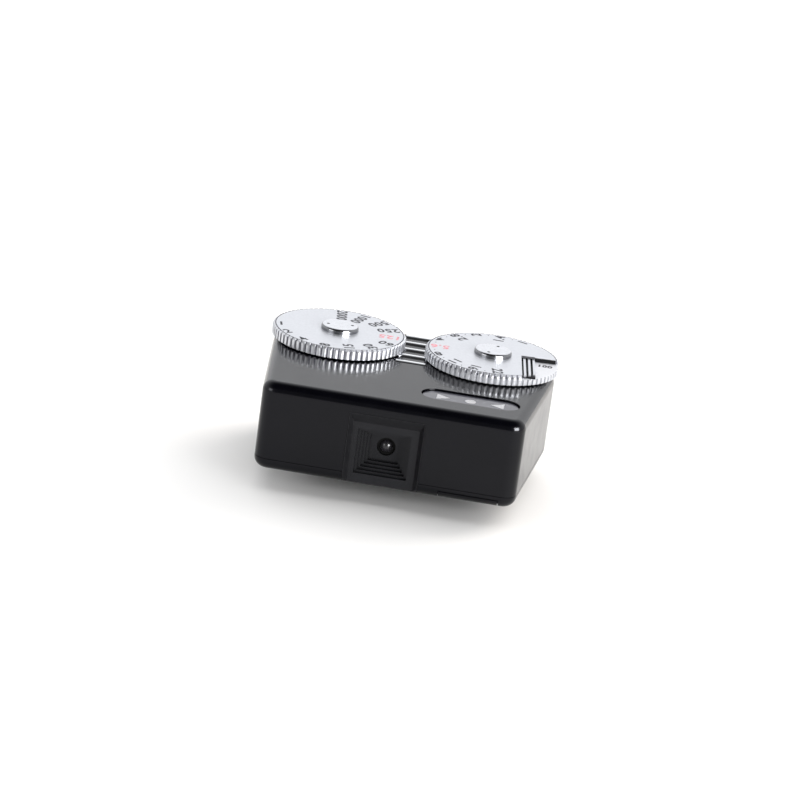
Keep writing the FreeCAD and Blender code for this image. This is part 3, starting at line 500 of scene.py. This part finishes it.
# ---- floor, light, camera -------------------------------------------------------------------------
def floor():
    size = 3.0
    mesh = bpy.data.meshes.new("floor")
    corners = [(-size, -size, 0), (size, -size, 0), (size, size, 0), (-size, size, 0)]
    mesh.from_pydata(corners, [], [(0, 1, 2, 3)])
    piece = bpy.data.objects.new("floor", mesh)
    bpy.context.scene.collection.objects.link(piece)
    s = Shader("floor_white", (0.875, 0.868, 0.855), 0.9)
    s.vary_colour(60 * MM, (0.86, 0.853, 0.84), 0.5)
    mesh.materials.append(s.mat)


def softbox(name, place, target, size, power, colour=(1, 1, 1), diffuse=True, glossy=True):
    light = bpy.data.lights.new(name, "AREA")
    light.shape = "RECTANGLE"
    light.size, light.size_y = size
    light.energy = power
    light.color = colour
    lamp = bpy.data.objects.new(name, light)
    lamp.location = place
    lamp.rotation_euler = (Vector(target) - Vector(place)).to_track_quat("-Z", "Y").to_euler()
    lamp.visible_diffuse, lamp.visible_glossy = diffuse, glossy
    bpy.context.scene.collection.objects.link(lamp)


def world():
    """A pale sweep all round, higher at the back, with a dim ceiling and a dim middle in front."""
    made = bpy.data.worlds.new("studio")
    bpy.context.scene.world = made
    made.use_nodes = True
    tree = made.node_tree
    background = tree.nodes["Background"]
    coords = tree.nodes.new("ShaderNodeTexCoord").outputs["Generated"]

    def along(direction):
        dot = tree.nodes.new("ShaderNodeVectorMath")
        dot.operation = "DOT_PRODUCT"
        dot.inputs[1].default_value = direction
        tree.links.new(coords, dot.inputs[0])
        return dot.outputs["Value"]

    def smooth(source, start, end, low, high):
        mapped = tree.nodes.new("ShaderNodeMapRange")
        mapped.interpolation_type = "SMOOTHSTEP"
        for key, value in (("From Min", start), ("From Max", end), ("To Min", low), ("To Max", high)):
            mapped.inputs[key].default_value = value
        tree.links.new(source, mapped.inputs["Value"])
        return mapped.outputs["Result"]

    product = tree.nodes.new("ShaderNodeMath")
    product.operation = "MULTIPLY"
    tree.links.new(smooth(along((0.0, -0.35, 1.0)), 0.35, 1.0, WALL_LEVEL, CEILING_LEVEL), product.inputs[0])
    tree.links.new(smooth(along((0.0, -1.0, 0.0)), 0.78, 0.96, 1.0, FRONT_SHARE), product.inputs[1])
    tree.links.new(product.outputs[0], background.inputs["Strength"])
    background.inputs["Color"].default_value = (0.97, 0.98, 1.0, 1.0)


def camera():
    a, e = math.radians(AZIMUTH), math.radians(ELEVATION)
    back = Vector((math.sin(a) * math.cos(e), -math.cos(a) * math.cos(e), math.sin(e)))
    right = Vector((math.cos(a), math.sin(a), 0))
    up = back.cross(right)
    r = math.radians(ROLL)
    x_axis = right * math.cos(r) + up * math.sin(r)
    y_axis = up * math.cos(r) - right * math.sin(r)
    data = bpy.data.cameras.new("camera")
    data.lens, data.sensor_width = LENS, SENSOR
    data.clip_start, data.clip_end = 0.01, 20.0
    made = bpy.data.objects.new("camera", data)
    place = AIM + back * DISTANCE
    made.matrix_world = Matrix.Translation(place) @ Matrix((x_axis, y_axis, back)).transposed().to_4x4()
    bpy.context.scene.collection.objects.link(made)
    bpy.context.scene.camera = made


def lights():
    softbox("top_softbox", (0.0, 0.0, 0.9), (0, 0, 0), (1.2, 1.0), 5.5, glossy=False)
    softbox("front_left_softbox", (-0.75, -0.65, 0.3), (0, 0, 0.01), (0.5, 0.35), 3.0)
    softbox("front_right_softbox", (0.75, -0.65, 0.3), (0, 0, 0.01), (0.5, 0.35), 3.0)
    softbox("rear_right_softbox", (0.3, 0.33, 0.25), (0.2, 0.25, 0), (0.3, 0.3), 2.1, (1.0, 0.94, 0.88),
            glossy=False)
    softbox("corner_light", (0.68, -0.60, 0.33), (0, 0, 0.01), (0.6, 0.45), 32.0, diffuse=False)


camera()
floor()
world()
lights()
dress_nodes()
dial_scale("shutter", SHUTTER_SPEEDS, SHUTTER_SET, SHUTTER_AXIS, SHUTTER_ANGLE, "shutter_dial")
dial_scale("aperture", APERTURES, APERTURE_SET, APERTURE_AXIS, APERTURE_ANGLE, "aperture_dial")
dial_scale("film", FILM_SPEEDS, FILM_SET, APERTURE_AXIS, FILM_ANGLE, "film_speed")
notch_wall_reflection()
lamp_symbols()

bpy.context.scene.view_settings.view_transform = "Standard"
